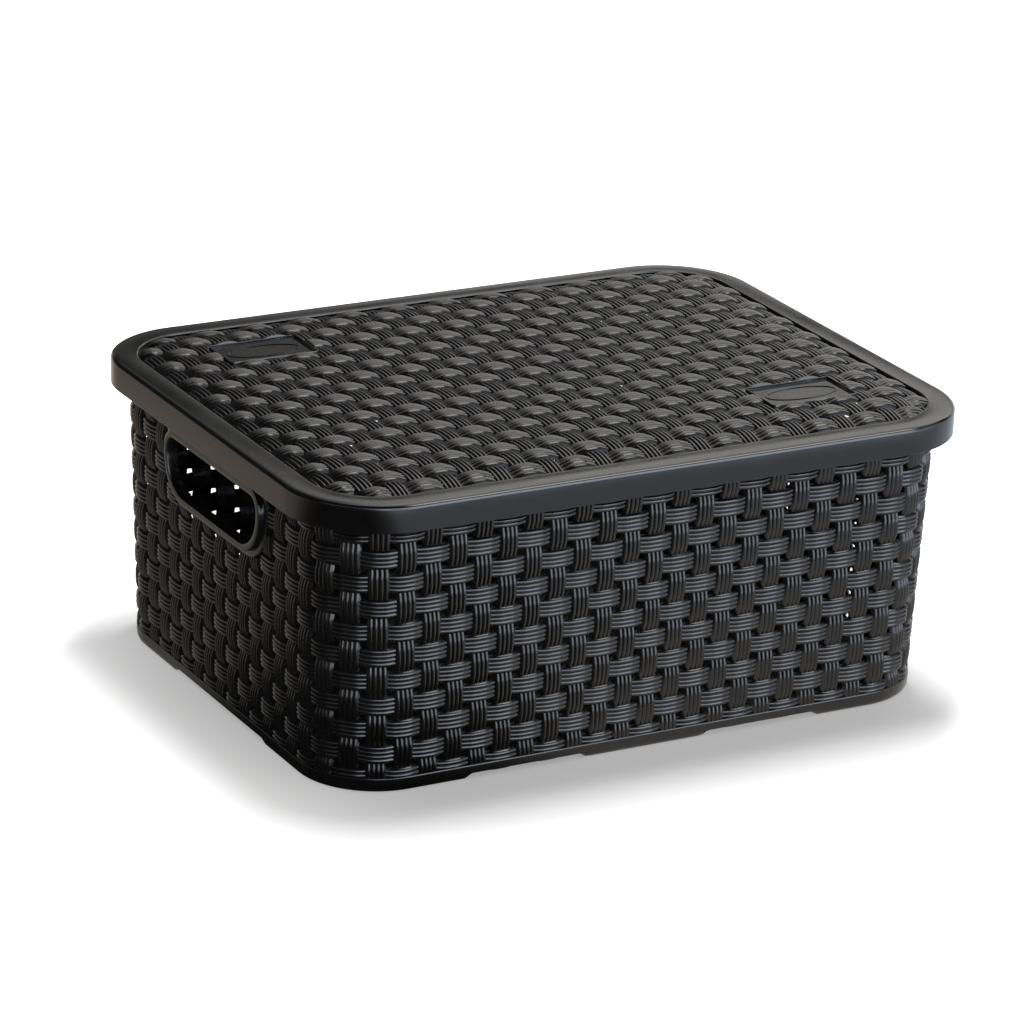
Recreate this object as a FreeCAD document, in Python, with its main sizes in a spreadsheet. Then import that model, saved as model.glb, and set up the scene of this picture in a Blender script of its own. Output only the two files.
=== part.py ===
import FreeCAD, Part
import math
import os
import Sketcher

# Moulded storage basket with a lift-off lid, in millimetres. +Z is up, X runs along the long sides,
# and the origin is the middle of the footprint, on the surface that the feet stand on.
# The real object is two injection mouldings, so the model is two bodies: the basket and its lid.
# The walls and the lid's domed panel are plain skins here, in place of the moulded weave.

DRIVING = {
    # basket walls, which flare from the feet to the mouth
    "foot_length": 343.6,
    "foot_width": 261.0,
    "foot_corner": 40.4,
    "wall_height": 150.5,
    "mouth_length": 351.6,
    "mouth_width": 269.0,
    "mouth_corner": 38.5,
    "wall_thickness": 2.5,
    # floor, and the feet that the base band leaves under it
    "floor_rise": 3.0,
    "floor_thickness": 2.5,
    "foot_ring": 9.0,
    "foot_bevel": 2.0,
    "foot_slope": 4.8,
    "long_side_gap": 67.0,
    "long_side_gap_centre": 66.5,
    "short_side_gap": 104.0,
    # flange round the mouth, which the lid rests on
    "rim_overhang": 5.2,
    "rim_thickness": 3.0,
    "rim_edge": 0.8,
    # hand slots through the short sides, each in a collar that stands proud of the wall
    "slot_length": 102.5,
    "slot_height": 28.4,
    "slot_bottom": 101.1,
    "slot_corner_low": 19.5,
    "slot_corner_high": 7.0,
    "collar_border": 4.0,
    "collar_root": 173.2,
    "collar_face": 178.4,
    "collar_edge": 1.2,
    # lid
    "lid_length": 370.0,
    "lid_width": 287.3,
    "lid_corner": 48.5,
    "lid_height": 14.2,
    "lid_plate": 2.5,
    "lid_skirt": 2.2,
    "lid_edge": 3.6,
    "lid_hem": 0.6,
    # domed panel inside the lid's border, which rises in three steps from its edge to its flat top
    "panel_border": 14.0,
    "panel_drop": 1.0,
    "panel_step": 1.4,
    "panel_edge": 0.6,
    "dome_thickness": 3.2,
    "dome_low_inset": 6.0,
    "dome_low_rise": 3.0,
    "dome_high_inset": 16.0,
    "dome_high_rise": 4.5,
    "dome_top_inset": 32.0,
    "dome_rise": 5.3,
    # blank plaques let into the panel
    "plaque_length": 49.4,
    "plaque_width": 28.8,
    "plaque_corner": 1.5,
    "plaque_depth": 1.8,
    "plaque_x": 110.4,
    "plaque_y": 81.7,
}

# Sizes that follow from the driving dimensions.
DERIVED = {
    "flare": "(mouth_length - foot_length) / wall_height",
    "sole_length": "foot_length - 2 * foot_bevel",
    "sole_width": "foot_width - 2 * foot_bevel",
    "sole_corner": "foot_corner - foot_bevel",
    "band_length": "foot_length + flare * foot_bevel",
    "band_width": "foot_width + flare * foot_bevel",
    "band_corner": "foot_corner",
    "floor_top": "floor_rise + floor_thickness",
    "cavity_depth": "wall_height - floor_top",
    "cavity_length": "foot_length + flare * floor_top - 2 * wall_thickness",
    "cavity_width": "foot_width + flare * floor_top - 2 * wall_thickness",
    "cavity_corner": "foot_corner - wall_thickness",
    "mouth_inner_length": "mouth_length - 2 * wall_thickness",
    "mouth_inner_width": "mouth_width - 2 * wall_thickness",
    "mouth_inner_corner": "mouth_corner - wall_thickness",
    "rim_length": "mouth_length + 2 * rim_overhang",
    "rim_width": "mouth_width + 2 * rim_overhang",
    "rim_corner": "mouth_corner + rim_overhang",
    "rim_bottom": "wall_height - rim_thickness",
    "recess_length": "foot_length - 2 * foot_ring",
    "recess_width": "foot_width - 2 * foot_ring",
    "recess_corner": "foot_corner - foot_ring",
    "long_side_gap_top": "long_side_gap - 2 * foot_slope",
    "short_side_gap_top": "short_side_gap - 2 * foot_slope",
    "collar_length": "slot_length + 2 * collar_border",
    "collar_height": "slot_height + 2 * collar_border",
    "collar_bottom": "slot_bottom - collar_border",
    "collar_corner_low": "slot_corner_low + collar_border",
    "collar_corner_high": "slot_corner_high + collar_border",
    "collar_depth": "collar_face - collar_root",
    "lid_top": "wall_height + lid_plate",
    "lid_bottom": "lid_top - lid_height",
    "panel_length": "lid_length - 2 * panel_border",
    "panel_width": "lid_width - 2 * panel_border",
    "panel_corner": "lid_corner - panel_border",
    "dome_foot": "lid_top - panel_drop",
    "dome_low": "dome_foot + dome_low_rise",
    "dome_high": "dome_foot + dome_high_rise",
    "dome_top": "dome_foot + dome_rise",
    "dome_low_length": "panel_length - 2 * dome_low_inset",
    "dome_low_width": "panel_width - 2 * dome_low_inset",
    "dome_low_corner": "panel_corner - dome_low_inset",
    "dome_high_length": "panel_length - 2 * dome_high_inset",
    "dome_high_width": "panel_width - 2 * dome_high_inset",
    "dome_high_corner": "panel_corner - dome_high_inset",
    "dome_top_length": "panel_length - 2 * dome_top_inset",
    "dome_top_width": "panel_width - 2 * dome_top_inset",
    "dome_top_corner": "panel_corner - dome_top_inset",
    "hollow_foot": "dome_foot - dome_thickness",
    "hollow_low": "dome_low - dome_thickness",
    "hollow_high": "dome_high - dome_thickness",
    "hollow_top": "dome_top - dome_thickness",
    "back_plaque_x": "-plaque_x",
    "back_plaque_y": "plaque_y",
    "front_plaque_x": "plaque_x",
    "front_plaque_y": "-plaque_y",
    "skirt_inner_length": "lid_length - 2 * lid_skirt",
    "skirt_inner_width": "lid_width - 2 * lid_skirt",
    "skirt_inner_corner": "lid_corner - lid_skirt",
    "step_length": "panel_length + 2 * panel_step",
    "step_width": "panel_width + 2 * panel_step",
    "step_corner": "panel_corner + panel_step",
    "under_panel_depth": "hollow_foot - lid_bottom",
    "under_rim_depth": "wall_height - hollow_foot",
}

RIGHT_ANGLE = math.pi / 2
H_AXIS, V_AXIS = -1, -2
ORIGIN_POINT = (-1, 1)
START, END = 1, 2
ON_LEVEL = 0.01


def fill_sheet(doc):
    """Puts the driving dimensions and the sizes that follow from them in the spreadsheet."""
    sheet = doc.addObject("Spreadsheet::Sheet", "Sizes")
    rows = {alias: str(value) for alias, value in DRIVING.items()}
    rows.update({alias: "=" + formula for alias, formula in DERIVED.items()})
    for row, (alias, content) in enumerate(rows.items(), start=1):
        sheet.set(f"A{row}", alias)
        sheet.set(f"B{row}", content)
        sheet.setAlias(f"B{row}", alias)
    doc.recompute()
    return sheet


def size(alias):
    """The number in the sheet's cell of that name."""
    return float(sheet.get(alias))


def origin_plane(body, role):
    """One of a body's own origin planes."""
    return next(plane for plane in body.Origin.OriginFeatures if plane.Role == role)


def new_sketch(body, name, role, **offset):
    """A sketch on one of the body's planes, moved by cells given for x, y or z of that plane."""
    sketch = body.newObject("Sketcher::SketchObject", name)
    sketch.AttachmentSupport = [(origin_plane(body, role), "")]
    sketch.MapMode = "FlatFace"
    for axis, alias in offset.items():
        sketch.setExpression(f"AttachmentOffset.Base.{axis}", f"Sizes.{alias}")
    return sketch


def bound(sketch, name, alias, *constraint):
    """Adds a dimension to a sketch and binds it to a cell."""
    index = sketch.addConstraint(Sketcher.Constraint(*constraint, size(alias)))
    sketch.renameConstraint(index, name)
    sketch.setExpression(f"Constraints.{name}", f"Sizes.{alias}")


def rounded_rectangle(sketch, tag, cells):
    """A rectangle with round corners, on the vertical axis.

    cells names the cells for length, width and corner. With bottom, it stands that far above the
    horizontal axis, and its upper corners take their own cell; without, it is centred.
    """
    raised = "bottom" in cells
    half = size(cells["length"]) / 2
    width = size(cells["width"])
    low = size(cells["bottom"]) if raised else -width / 2
    high = low + width
    low_radius = size(cells["corner"])
    high_radius = size(cells["high_corner"]) if raised else low_radius

    def line(x0, y0, x1, y1):
        return Part.LineSegment(FreeCAD.Vector(x0, y0, 0), FreeCAD.Vector(x1, y1, 0))

    def arc(x, y, radius, quarter):
        circle = Part.Circle(FreeCAD.Vector(x, y, 0), FreeCAD.Vector(0, 0, 1), radius)
        return Part.ArcOfCircle(circle, quarter * RIGHT_ANGLE, (quarter + 1) * RIGHT_ANGLE)

    bottom, low_right, right, high_right, top, high_left, left, low_left = sketch.addGeometry([
        line(low_radius - half, low, half - low_radius, low),
        arc(half - low_radius, low + low_radius, low_radius, -1),
        line(half, low + low_radius, half, high - high_radius),
        arc(half - high_radius, high - high_radius, high_radius, 0),
        line(half - high_radius, high, high_radius - half, high),
        arc(high_radius - half, high - high_radius, high_radius, 1),
        line(-half, high - high_radius, -half, low + low_radius),
        arc(low_radius - half, low + low_radius, low_radius, 2),
    ])
    loop = [bottom, low_right, right, high_right, top, high_left, left, low_left]
    for this, following in zip(loop, loop[1:] + loop[:1]):
        sketch.addConstraint(Sketcher.Constraint("Tangent", this, END, following, START))
    sketch.addConstraint(Sketcher.Constraint("Horizontal", bottom))
    sketch.addConstraint(Sketcher.Constraint("Vertical", left))
    sketch.addConstraint(Sketcher.Constraint("Symmetric", top, START, top, END, V_AXIS))
    sketch.addConstraint(Sketcher.Constraint("Equal", low_right, low_left))
    sketch.addConstraint(Sketcher.Constraint("Equal", high_right, high_left))
    bound(sketch, tag + "_length", cells["length"], "DistanceX", left, START, right, START)
    bound(sketch, tag + "_width", cells["width"], "DistanceY", bottom, START, top, START)
    bound(sketch, tag + "_corner", cells["corner"], "Radius", low_right)
    if raised:
        sketch.addConstraint(Sketcher.Constraint("Vertical", right))
        bound(sketch, tag + "_high_corner", cells["high_corner"], "Radius", high_right)
        bound(sketch, tag + "_bottom", cells["bottom"], "DistanceY", *ORIGIN_POINT, bottom, START)
    else:
        sketch.addConstraint(Sketcher.Constraint("Equal", low_right, high_right))
        sketch.addConstraint(Sketcher.Constraint("Symmetric", right, START, right, END, H_AXIS))


def outline(name):
    """The cells of a plan outline, which all follow one pattern of names."""
    return {"length": name + "_length", "width": name + "_width", "corner": name + "_corner"}


def trapezium(sketch, long_side, short_side, rise):
    """A gap between two feet: wide on the ground and narrower above, centred on the vertical axis."""
    wide, narrow, top = size(long_side) / 2, size(short_side) / 2, size(rise)
    corners = [(-wide, 0), (wide, 0), (narrow, top), (-narrow, top)]
    points = [FreeCAD.Vector(x, y, 0) for x, y in corners]
    lines = sketch.addGeometry([
        Part.LineSegment(point, following) for point, following in zip(points, points[1:] + points[:1])
    ])
    for this, following in zip(lines, lines[1:] + lines[:1]):
        sketch.addConstraint(Sketcher.Constraint("Coincident", this, END, following, START))
    ground, _, ceiling, _ = lines
    for level in (ground, ceiling):
        sketch.addConstraint(Sketcher.Constraint("Symmetric", level, START, level, END, V_AXIS))
    sketch.addConstraint(Sketcher.Constraint("PointOnObject", ground, START, H_AXIS))
    bound(sketch, "wide", long_side, "DistanceX", ground, START, ground, END)
    bound(sketch, "narrow", short_side, "DistanceX", ceiling, END, ceiling, START)
    bound(sketch, "rise", rise, "DistanceY", ground, END, ceiling, START)


def extrude(body, kind, name, sketch, alias, reverse=False):
    """A Pad or Pocket of a sketch, as deep as a cell says."""
    feature = body.newObject(f"PartDesign::{kind}", name)
    feature.Profile = sketch
    feature.Type = "Length"
    feature.Reversed = reverse
    feature.setExpression("Length", f"Sizes.{alias}")
    doc.recompute()
    return feature


def cut_through(body, name, sketch):
    """A Pocket that runs right through the body on both sides of its sketch."""
    feature = body.newObject("PartDesign::Pocket", name)
    feature.Profile = sketch
    feature.Type = "ThroughAll"
    feature.SideType = "Symmetric"
    doc.recompute()
    return feature


def loft(body, kind, name, first, *others):
    """A loft from one sketch through others, with straight sides between them."""
    feature = body.newObject(f"PartDesign::{kind}", name)
    feature.Profile = first
    feature.Sections = list(others)
    feature.Ruled = True
    doc.recompute()
    return feature


def mirror(body, name, feature, role):
    """The same feature again on the other side of an origin plane."""
    copy = body.newObject("PartDesign::Mirrored", name)
    copy.Originals = [feature]
    copy.MirrorPlane = (origin_plane(body, role), [""])
    body.Tip = copy
    doc.recompute()
    return copy


def round_edges(body, name, alias, wanted):
    """A fillet on those edges of the body so far for which wanted is true."""
    base = body.Tip
    names = [f"Edge{number}" for number, edge in enumerate(base.Shape.Edges, start=1) if wanted(edge)]
    fillet = body.newObject("PartDesign::Fillet", name)
    fillet.Base = (base, names)
    fillet.setExpression("Radius", f"Sizes.{alias}")
    doc.recompute()
    return fillet


def on_level(edge, height):
    """True if an edge lies in the horizontal plane at that height."""
    box = edge.BoundBox
    return abs(box.ZMin - height) < ON_LEVEL and abs(box.ZMax - height) < ON_LEVEL


def inside_plan(edge, length, width):
    """True if an edge lies within a rectangle of that length and width about the origin, seen from above."""
    box = edge.BoundBox
    reach_x = max(abs(box.XMin), abs(box.XMax))
    reach_y = max(abs(box.YMin), abs(box.YMax))
    return reach_x < length / 2 + ON_LEVEL and reach_y < width / 2 + ON_LEVEL


def on_collar_face(edge):
    """True if an edge lies in the flat face of either collar."""
    box = edge.BoundBox
    flat = box.XLength < ON_LEVEL
    return flat and abs(abs(box.XMin) - size("collar_face")) < ON_LEVEL


def new_body(name):
    """A body whose label is the sub-part's name."""
    body = doc.addObject("PartDesign::Body", name)
    body.Label = name
    body.Placement = FreeCAD.Placement()
    return body


def make_basket():
    """Flared walls on a footed base band, a flange round the mouth and a hand slot in each short side."""
    body = new_body("basket")

    sole = new_sketch(body, "sole_outline", "XY_Plane")
    rounded_rectangle(sole, "sole", outline("sole"))
    band = new_sketch(body, "band_outline", "XY_Plane", z="foot_bevel")
    rounded_rectangle(band, "band", outline("band"))
    mouth = new_sketch(body, "mouth_outline", "XY_Plane", z="wall_height")
    rounded_rectangle(mouth, "mouth", outline("mouth"))
    loft(body, "AdditiveLoft", "outer_wall", sole, band, mouth)

    rim = new_sketch(body, "rim_outline", "XY_Plane", z="rim_bottom")
    rounded_rectangle(rim, "rim", outline("rim"))
    extrude(body, "Pad", "rim", rim, "rim_thickness")

    floor = new_sketch(body, "floor_outline", "XY_Plane", z="floor_top")
    rounded_rectangle(floor, "floor", outline("cavity"))
    inner_mouth = new_sketch(body, "inner_mouth_outline", "XY_Plane", z="wall_height")
    rounded_rectangle(inner_mouth, "inner_mouth", outline("mouth_inner"))
    loft(body, "SubtractiveLoft", "cavity", floor, inner_mouth)
    round_edges(body, "rim_rounding", "rim_edge", lambda edge: on_level(edge, size("wall_height")))

    recess = new_sketch(body, "recess_outline", "XY_Plane")
    rounded_rectangle(recess, "recess", outline("recess"))
    extrude(body, "Pocket", "underside_recess", recess, "floor_rise", reverse=True)
    long_gap = new_sketch(body, "long_side_gap_outline", "XZ_Plane", x="long_side_gap_centre")
    trapezium(long_gap, "long_side_gap", "long_side_gap_top", "floor_rise")
    long_side_gap = cut_through(body, "long_side_gap", long_gap)
    mirror(body, "other_long_side_gap", long_side_gap, "YZ_Plane")
    short_gap = new_sketch(body, "short_side_gap_outline", "YZ_Plane")
    trapezium(short_gap, "short_side_gap", "short_side_gap_top", "floor_rise")
    cut_through(body, "short_side_gap", short_gap)

    ring = new_sketch(body, "collar_outline", "YZ_Plane", z="collar_root")
    rounded_rectangle(ring, "collar", {
        "length": "collar_length",
        "width": "collar_height",
        "corner": "collar_corner_low",
        "high_corner": "collar_corner_high",
        "bottom": "collar_bottom",
    })
    collar = extrude(body, "Pad", "collar", ring, "collar_depth")
    mirror(body, "other_collar", collar, "YZ_Plane")
    slot = new_sketch(body, "slot_outline", "YZ_Plane")
    rounded_rectangle(slot, "slot", {
        "length": "slot_length",
        "width": "slot_height",
        "corner": "slot_corner_low",
        "high_corner": "slot_corner_high",
        "bottom": "slot_bottom",
    })
    cut_through(body, "hand_slots", slot)
    round_edges(body, "collar_rounding", "collar_edge", on_collar_face)
    return body


def dome_sections(body, tag, foot, low, high, top):
    """Sketches of the dome's four levels, at the heights that the cells give."""
    sections = []
    for level, height in (("panel", foot), ("dome_low", low), ("dome_high", high), ("dome_top", top)):
        sketch = new_sketch(body, f"{tag}_{level}", "XY_Plane", z=height)
        rounded_rectangle(sketch, f"{tag}_{level}", outline(level))
        sections.append(sketch)
    return sections


def make_plaque(body, name):
    """A blank plaque, let into the top of the lid's dome."""
    sketch = new_sketch(body, name + "_outline", "XY_Plane", x=name + "_x", y=name + "_y", z="dome_top")
    rounded_rectangle(sketch, name, outline("plaque"))
    extrude(body, "Pocket", name, sketch, "plaque_depth")


def make_lid():
    """A rim and skirt that cap the basket's flange, round a panel that is domed and hollow below."""
    body = new_body("lid")

    skirt = new_sketch(body, "lid_outline", "XY_Plane", z="lid_bottom")
    rounded_rectangle(skirt, "lid", outline("lid"))
    extrude(body, "Pad", "lid_block", skirt, "lid_height")
    round_edges(body, "lid_rounding", "lid_edge", lambda edge: on_level(edge, size("lid_top")))

    under = new_sketch(body, "under_panel_outline", "XY_Plane", z="lid_bottom")
    rounded_rectangle(under, "skirt_inner", outline("skirt_inner"))
    extrude(body, "Pocket", "under_panel", under, "under_panel_depth", reverse=True)
    round_edges(body, "hem_rounding", "lid_hem", lambda edge: on_level(edge, size("lid_bottom")))
    groove = new_sketch(body, "under_rim_outline", "XY_Plane", z="hollow_foot")
    rounded_rectangle(groove, "skirt_inner", outline("skirt_inner"))
    rounded_rectangle(groove, "step", outline("step"))
    extrude(body, "Pocket", "under_rim", groove, "under_rim_depth", reverse=True)

    panel = new_sketch(body, "panel_outline", "XY_Plane", z="lid_top")
    rounded_rectangle(panel, "panel", outline("panel"))
    extrude(body, "Pocket", "panel_drop", panel, "panel_drop")
    length, width = size("panel_length"), size("panel_width")
    round_edges(
        body,
        "panel_rounding",
        "panel_edge",
        lambda edge: on_level(edge, size("lid_top")) and inside_plan(edge, length, width),
    )
    dome = dome_sections(body, "dome", "dome_foot", "dome_low", "dome_high", "dome_top")
    loft(body, "AdditiveLoft", "dome", *dome)
    hollow = dome_sections(body, "hollow", "hollow_foot", "hollow_low", "hollow_high", "hollow_top")
    loft(body, "SubtractiveLoft", "dome_hollow", *hollow)
    make_plaque(body, "back_plaque")
    make_plaque(body, "front_plaque")
    return body


def check_document(bodies):
    """Stops if an object failed, a cut took nothing away or a sub-part is not one valid solid."""
    for item in doc.Objects:
        if "Invalid" in item.State or "Error" in item.State:
            raise RuntimeError(f"{item.Label} failed: {item.State}")
    for body in bodies:
        for feature in body.Group:
            if feature.TypeId in ("PartDesign::Pocket", "PartDesign::SubtractiveLoft"):
                if feature.Shape.Volume >= feature.BaseFeature.Shape.Volume:
                    raise RuntimeError(f"{feature.Label} cuts nothing")
        if body.Shape.isNull() or not body.Shape.isValid() or len(body.Shape.Solids) != 1:
            raise RuntimeError(f"{body.Label} is not one valid solid")


doc = FreeCAD.newDocument("storage_basket")
sheet = fill_sheet(doc)
sub_parts = [make_basket(), make_lid()]
doc.recompute()
check_document(sub_parts)

os.makedirs("parts", exist_ok=True)
for sub_part in sub_parts:
    sub_part.Shape.exportStep(f"parts/{sub_part.Label}.step")
    box = sub_part.Shape.optimalBoundingBox()
    volume = sub_part.Shape.Volume / 1000
    print(f"{sub_part.Label}: {box.XLength:.1f} x {box.YLength:.1f} x {box.ZLength:.1f} mm, {volume:.0f} cm3")
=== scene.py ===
"""A storage basket with a lift-off lid, moulded in black plastic as if woven from ribbed strands.

x runs along the basket, y from front to back and z up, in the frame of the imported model. Sizes are
in millimetres, and mesh_piece() turns them into the metres that Blender works in.

A place on the wall is a column k, a height z and an offset n outward from the wall's outline.
Columns are counted round the basket from the middle of the front, QUARTER of them to a quarter.
"""

import math

import bmesh
import bpy
import numpy as np
from mathutils import Matrix, Vector


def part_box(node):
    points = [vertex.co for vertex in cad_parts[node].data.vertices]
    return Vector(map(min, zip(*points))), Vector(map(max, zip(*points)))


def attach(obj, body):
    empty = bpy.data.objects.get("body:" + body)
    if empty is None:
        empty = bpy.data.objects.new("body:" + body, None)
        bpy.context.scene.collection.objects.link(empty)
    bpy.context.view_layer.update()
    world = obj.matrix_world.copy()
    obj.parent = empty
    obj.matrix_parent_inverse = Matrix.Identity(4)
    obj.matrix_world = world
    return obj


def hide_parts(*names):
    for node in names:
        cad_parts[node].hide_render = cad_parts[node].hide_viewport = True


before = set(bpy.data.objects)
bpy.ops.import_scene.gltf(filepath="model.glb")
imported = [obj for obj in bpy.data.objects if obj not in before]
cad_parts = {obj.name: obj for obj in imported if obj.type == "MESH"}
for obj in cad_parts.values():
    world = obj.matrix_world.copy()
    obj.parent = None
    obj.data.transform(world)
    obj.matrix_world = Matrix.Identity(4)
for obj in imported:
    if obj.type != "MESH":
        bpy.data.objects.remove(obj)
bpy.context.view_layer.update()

MM = 0.001

# ---------------------------------------------------------------- sizes, from the frame
_, basket_high = (np.array(corner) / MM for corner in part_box("basket"))
lid_low, lid_high = (np.array(corner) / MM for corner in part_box("lid"))

# The mouth and the lid are given by half their length and width, and corners by their radius. Each
# wall leans out by FLARE from foot to mouth, and points within NEAR_WALL of it count as its own.
WALL_HEIGHT = basket_high[2]
RIM_OVERHANG = 5.2
MOUTH_X = basket_high[0] - RIM_OVERHANG
MOUTH_Y = basket_high[1] - RIM_OVERHANG
FLARE = 4.0
FOOT_CORNER, MOUTH_CORNER = 40.4, 38.5
NEAR_WALL = 30.0

# ---------------------------------------------------------------- the wall's weave
# A strand is a slab with RIBS ribs on its face, which is crowned, and a back that is wider than the
# face. It waves in and out by its wave as it goes over and under. RIB_FULLNESS below 1 makes a rib
# fuller than half a sine wave.
QUARTER = 21
ROUND = 4 * QUARTER
COLUMN_PITCH = 13.56
ROW_PITCH = 12.72
FIRST_ROW_Z = 19.6
ROWS = range(-1, 10)
STEPS_PER_CROSSING = 8

ROW_HEIGHT = 9.0
COLUMN_WIDTH = 9.4
RIBS = 4
RIB_STEPS = 4
RIB_FULLNESS = 0.8
BACK_SPREAD = 1.17
ROW_WAVE = 0.9
COLUMN_WAVE = 0.9
WALL_SLAB = 1.2
WALL_RIB = 0.75
WALL_CROWN = 0.35
ROW_MIDDLE = -ROW_WAVE - WALL_SLAB / 2 - WALL_RIB
COLUMN_SINK = 0.1
COLUMN_MIDDLE = -COLUMN_WAVE - WALL_SLAB / 2 - WALL_RIB - COLUMN_SINK

INTO_BASE_BAND, INTO_TOP_BAND = 2.2, 1.8

# ---------------------------------------------------------------- the bands, the floor and the feet
# The smooth parts have a ring of points for each of STATIONS, which are columns. The band's lower
# edge is raised in gaps, two to a long side and one to a short side, and the feet are between them.
STATIONS = np.arange(0, ROUND, 0.25)[:, None]
BASE_BAND_TOP = 7.4
TOP_BAND_BOTTOM = 139.3
BAND_BACK = -4.4
BASE_BAND_FACE, TOP_BAND_FACE = 0.1, 0.2
FLANGE_THICKNESS = 3.0
FLOOR_RISE, FLOOR_THICKNESS = 3.0, 2.5
FLOOR_BOTTOM = FLOOR_RISE + 0.05
FLOOR_RINGS = (0.9, 0.7, 0.4, 0.12)
LONG_SIDE_GAP, LONG_SIDE_GAP_MIDDLE = 67.0, 66.5
SHORT_SIDE_GAP = 104.0
FOOT_SLOPE, FOOT_BEVEL, FOOT_RING = 4.8, 2.0, 9.0

# ---------------------------------------------------------------- the hand slots
# A slot has a collar that stands proud of the wall, in a smooth plate that interrupts the weave.
SLOT_HALF = 51.25
SLOT_LOW, SLOT_HIGH = 101.1, 129.5
SLOT_CORNER_LOW, SLOT_CORNER_HIGH = 19.5, 7.0
COLLAR_BORDER = 4.0
COLLAR_FACE = 178.4
PLATE_HALF = 56.8
PLATE_LOW, PLATE_HIGH = 94.0, 142.0
PLATE_CORNER_LOW, PLATE_CORNER_HIGH = 24.5, 4.0
PLATE_BACK = -2.4

# ---------------------------------------------------------------- the lid
# The weave lies on a dome, level in the middle, that drops by DOME_RISE within a few DOME_REACH of
# the border. A plaque's place is the column and the row that cross at its middle.
LID_X, LID_Y = lid_high[0], lid_high[1]
LID_CORNER = 48.5
LID_PLATE = 2.5
RIM_TOP = WALL_HEIGHT + LID_PLATE
LID_HEM = lid_low[2]
PANEL_BORDER = 14.0
PANEL_FOOT = 146.0

LID_COLUMN_PITCH, LID_ROW_PITCH = 13.80, 13.62
LID_COLUMNS = range(-12, 13)
LID_ROWS = range(-9, 10)
LID_ROW_WIDTH, LID_ROW_SLAB, LID_ROW_RIB, LID_ROW_CROWN = 10.4, 1.6, 0.5, 0.8
LID_COLUMN_WIDTH, LID_COLUMN_SLAB, LID_COLUMN_RIB, LID_COLUMN_CROWN = 9.6, 1.2, 0.7, 0.5
LID_ROW_WAVE, LID_COLUMN_WAVE = 1.1, 0.45
LID_COLUMN_SINK = 0.6
LID_ROW_STATIONS, LID_COLUMN_STATIONS = 199, 155
INTO_LID_RIM = 0.8
LID_STRAND_TOP = LID_ROW_WAVE + LID_ROW_SLAB / 2 + LID_ROW_RIB
DOME_EDGE = RIM_TOP - 0.2 - LID_STRAND_TOP
DOME_RISE = 4.45
DOME_REACH = 9.0

PLAQUES = {"lid_plaque_back": (-8, 6), "lid_plaque_front": (8, -6)}
PLAQUE_HALF_X, PLAQUE_HALF_Y = 24.7, 14.4
PLAQUE_CORNER = 1.8
PLAQUE_TOP = RIM_TOP + 3.6
PLAQUE_DEPTH = 1.3
PLAQUE_FOOT = 6.0
PLAQUE_CLEARANCE = 0.2
STRAND_UNDER_PLAQUE = PLAQUE_TOP - PLAQUE_DEPTH - 0.4


# ---------------------------------------------------------------- outlines
def outline(k, half_x, half_y, radius):
    """Points and outward normals at column positions k of a rounded rectangle."""
    pitch_x = COLUMN_PITCH * half_x / (MOUTH_X - FLARE / 2)
    pitch_y = COLUMN_PITCH * half_y / (MOUTH_Y - FLARE / 2)
    quarter = np.floor_divide(k, QUARTER) % 4
    along = np.mod(k, QUARTER)
    along = np.where(quarter % 2 == 1, QUARTER - along, along)
    straight_x = (half_x - radius) / pitch_x
    straight_y = (half_y - radius) / pitch_y
    corner = QUARTER - straight_x - straight_y
    angle = np.clip((along - straight_x) / corner, 0, 1) * math.pi / 2
    side_x = np.where(quarter < 2, 1.0, -1.0)
    side_y = np.where((quarter == 0) | (quarter == 3), -1.0, 1.0)
    normal_x, normal_y = np.sin(angle), np.cos(angle)
    x = np.minimum(along, straight_x) * pitch_x + radius * normal_x
    y = np.minimum(QUARTER - along, straight_y) * pitch_y + radius * normal_y
    return x * side_x, y * side_y, normal_x * side_x, normal_y * side_y


def wall_point(k, z, n):
    """Points at columns k, heights z and offsets n outside the wall's outline."""
    k, z, n = np.broadcast_arrays(k, z, n)
    rise = z / WALL_HEIGHT
    half_x = MOUTH_X - FLARE * (1 - rise)
    half_y = MOUTH_Y - FLARE * (1 - rise)
    radius = FOOT_CORNER + (MOUTH_CORNER - FOOT_CORNER) * rise
    x, y, normal_x, normal_y = outline(k, half_x, half_y, radius)
    return np.stack([x + n * normal_x, y + n * normal_y, z], axis=-1)


def lid_point(k, z, inset):
    """Points at columns k and heights z, inset from the lid's outer edge."""
    k, z, inset = np.broadcast_arrays(k, z, inset)
    x, y, _, _ = outline(k, LID_X - inset, LID_Y - inset, LID_CORNER - inset)
    return np.stack([x, y, z], axis=-1)


def weave_wave(phase):
    """A flattened cosine of a phase in crossings: 1 where a strand is over, -1 where it is under."""
    c = np.cos(math.pi * phase)
    return c * (1.5 - 0.5 * c * c)


def soften(points, segments=4):
    """A polygon's corners (a, b, trim) replaced by curves that start trim before each corner."""
    curve = []
    for i, (a, b, trim) in enumerate(points):
        here = np.array([a, b])
        if not trim:
            curve.append(here)
            continue
        before = np.array(points[i - 1][:2]) - here
        after = np.array(points[(i + 1) % len(points)][:2]) - here
        start = here + before / np.linalg.norm(before) * trim
        end = here + after / np.linalg.norm(after) * trim
        for t in np.linspace(0, 1, segments + 1):
            curve.append((1 - t) ** 2 * start + 2 * t * (1 - t) * here + t * t * end)
    return np.array(curve).T


# ---------------------------------------------------------------- meshes
def grid_faces(rings, around, first=0, closed=False):
    """Quads between rings of `around` points each, the last ring joined to the first if closed."""
    ring = np.arange(rings if closed else rings - 1)[:, None]
    spot = np.arange(around)[None, :]
    a = ring * around + spot
    b = ring * around + (spot + 1) % around
    c = (ring + 1) % rings * around + (spot + 1) % around
    d = (ring + 1) % rings * around + spot
    return np.stack([a, b, c, d], axis=-1).reshape(-1, 4) + first


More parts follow.
